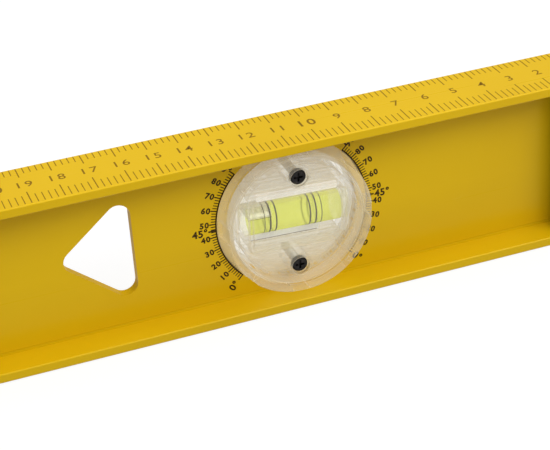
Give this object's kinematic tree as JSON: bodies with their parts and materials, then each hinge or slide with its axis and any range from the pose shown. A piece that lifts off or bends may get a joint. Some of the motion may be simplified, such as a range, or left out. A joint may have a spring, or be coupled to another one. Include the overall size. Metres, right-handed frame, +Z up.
{
  "type": "spirit level",
  "caption": "I-beam spirit level with a ruler on its top edge, level and plumb vials, and a clear round dial that turns its vial to any angle.",
  "frame": {"origin": "centre of the bottom working face of the beam", "axes": "+X along the beam towards the zero end of its ruler, +Y away from the side whose dial scale is printed, +Z up from the bottom working face to the ruler face"},
  "size_m": [0.606, 0.025, 0.058],
  "materials": {
    "beam_paint": "satin",
    "cap_plastic": "matte",
    "clear_cover": "gloss",
    "clear_block": "gloss",
    "plug_plastic": "gloss",
    "vial_liquid": "gloss",
    "bubble_air": "gloss",
    "screw_steel": "satin"
  },
  "bodies": {
    "beam": {"i_beam": "beam_paint", "end_cap_left": "cap_plastic", "end_cap_right": "cap_plastic", "plumb_front_cover": "clear_cover", "plumb_rear_cover": "clear_cover", "plumb_vial_block": "clear_block", "plumb_vial_plug": "plug_plastic", "plumb_vial_liquid": "vial_liquid", "plumb_cover_screws": "screw_steel", "centre_front_cover": "clear_cover", "centre_rear_cover": "clear_cover", "centre_vial_block": "clear_block", "centre_vial_plug": "plug_plastic", "centre_vial_liquid": "vial_liquid", "centre_cover_screws": "screw_steel"},
    "angle_dial": {"dial_front_cover": "clear_cover", "dial_rear_cover": "clear_cover", "dial_screws": "screw_steel", "angle_vial_block": "clear_block", "angle_vial_plug": "plug_plastic", "angle_vial_liquid": "vial_liquid"},
    "angle_bubble": {"angle_vial_bubble": "bubble_air"},
    "plumb_bubble": {"plumb_vial_bubble": "bubble_air"},
    "centre_bubble": {"centre_vial_bubble": "bubble_air"}
  },
  "joints": [
    {"name": "dial_turn", "type": "hinge", "parent": "beam", "child": "angle_dial", "pos_m": [0.1928, 0, 0.029], "axis": [0, 1, 0], "continuous": true},
    {"name": "angle_bubble_slide", "type": "slide", "parent": "angle_dial", "child": "angle_bubble", "axis": [0.999, 0, -0.0436], "range_m": [0, 0.0238], "deforming": ["angle_vial_liquid"]},
    {"name": "plumb_bubble_slide", "type": "slide", "parent": "beam", "child": "plumb_bubble", "axis": [0, 0, 1], "range_m": [-0.0238, 0], "deforming": ["plumb_vial_liquid"]},
    {"name": "centre_bubble_slide", "type": "slide", "parent": "beam", "child": "centre_bubble", "axis": [1, 0, 0], "range_m": [-0.0099, 0.0099], "deforming": ["centre_vial_liquid"]}
  ]
}
